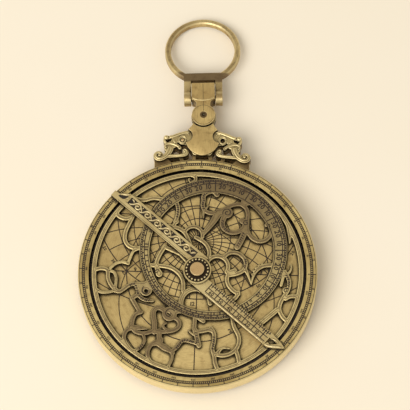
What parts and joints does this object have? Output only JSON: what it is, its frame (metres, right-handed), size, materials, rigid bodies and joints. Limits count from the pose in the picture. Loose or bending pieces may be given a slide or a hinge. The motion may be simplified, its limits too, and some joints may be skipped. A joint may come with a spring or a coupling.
{
  "type": "planispheric astrolabe",
  "caption": "Brass planispheric astrolabe: graduated limb, latitude plate, pierced rete, two-armed rule, sighting alidade on the back, openwork throne with shackle and ring.",
  "frame": {"origin": "on the pivot's axis, in the plane that the instrument lies on, which is the flat outer face of the pivot bolt's head", "axes": "+Y from the pivot to the throne, +Z out of the front with the rete, +X to the right seen from the front"},
  "size_m": [0.1, 0.1702, 0.0174],
  "materials": {
    "body_brass": "brushed antique brass, dark in the recesses",
    "plate_brass": "fine-brushed brass with engraved lines",
    "rete_brass": "worn antique brass, darker between the straps",
    "pale_brass": "polished pale brass",
    "dark_brass": "dark patinated brass",
    "ring_brass": "worn dark brass with bright edges",
    "cap_brass": "satin warm brass"
  },
  "bodies": {
    "body": {"mater_plate": "body_brass", "limb_ring": "body_brass", "limb_rivets": "dark_brass", "tympan_rear": "plate_brass", "tympan_middle": "plate_brass", "tympan_front": "plate_brass", "collar": "pale_brass", "spring_washer": "dark_brass", "cap_nut": "cap_brass", "pivot_bolt": "dark_brass", "back_washer": "dark_brass", "throne": "body_brass", "throne_shield": "pale_brass", "throne_dowels": "dark_brass"},
    "rete_body": {"rete": "rete_brass"},
    "rule_body": {"rule": "pale_brass"},
    "alidade_body": {"alidade": "body_brass", "vane_pin_upper": "dark_brass", "vane_pin_lower": "dark_brass"},
    "vane_upper_body": {"sight_vane_upper": "pale_brass"},
    "vane_lower_body": {"sight_vane_lower": "pale_brass"},
    "link_body": {"swivel_link": "pale_brass", "link_rivet": "dark_brass"},
    "ring_body": {"suspension_ring": "ring_brass", "ring_pin": "dark_brass"}
  },
  "joints": [
    {"name": "rete_spin", "type": "hinge", "parent": "body", "child": "rete_body", "pos_m": [0, 0, 0.0124], "axis": [0, 0, 1], "continuous": true},
    {"name": "rule_spin", "type": "hinge", "parent": "body", "child": "rule_body", "pos_m": [0, 0, 0.0143], "axis": [0, 0, 1], "continuous": true},
    {"name": "alidade_spin", "type": "hinge", "parent": "body", "child": "alidade_body", "pos_m": [0, 0, 0.0024], "axis": [0, 0, 1], "continuous": true},
    {"name": "vane_upper_fold", "type": "hinge", "parent": "alidade_body", "child": "vane_upper_body", "pos_m": [0, 0.037, 0.0011], "axis": [1, 0, 0], "range_deg": [0, 90]},
    {"name": "vane_lower_fold", "type": "hinge", "parent": "alidade_body", "child": "vane_lower_body", "pos_m": [0, -0.037, 0.0011], "axis": [-1, 0, 0], "range_deg": [0, 90]},
    {"name": "link_swing", "type": "hinge", "parent": "body", "child": "link_body", "pos_m": [0, 0.0708, 0.0086], "axis": [0, 0, 1], "range_deg": [-53, 47]},
    {"name": "ring_swing", "type": "hinge", "parent": "link_body", "child": "ring_body", "pos_m": [-0.00047, 0.07979, 0.0086], "axis": [0.9986, 0.0523, 0], "range_deg": [-99, 118]}
  ]
}
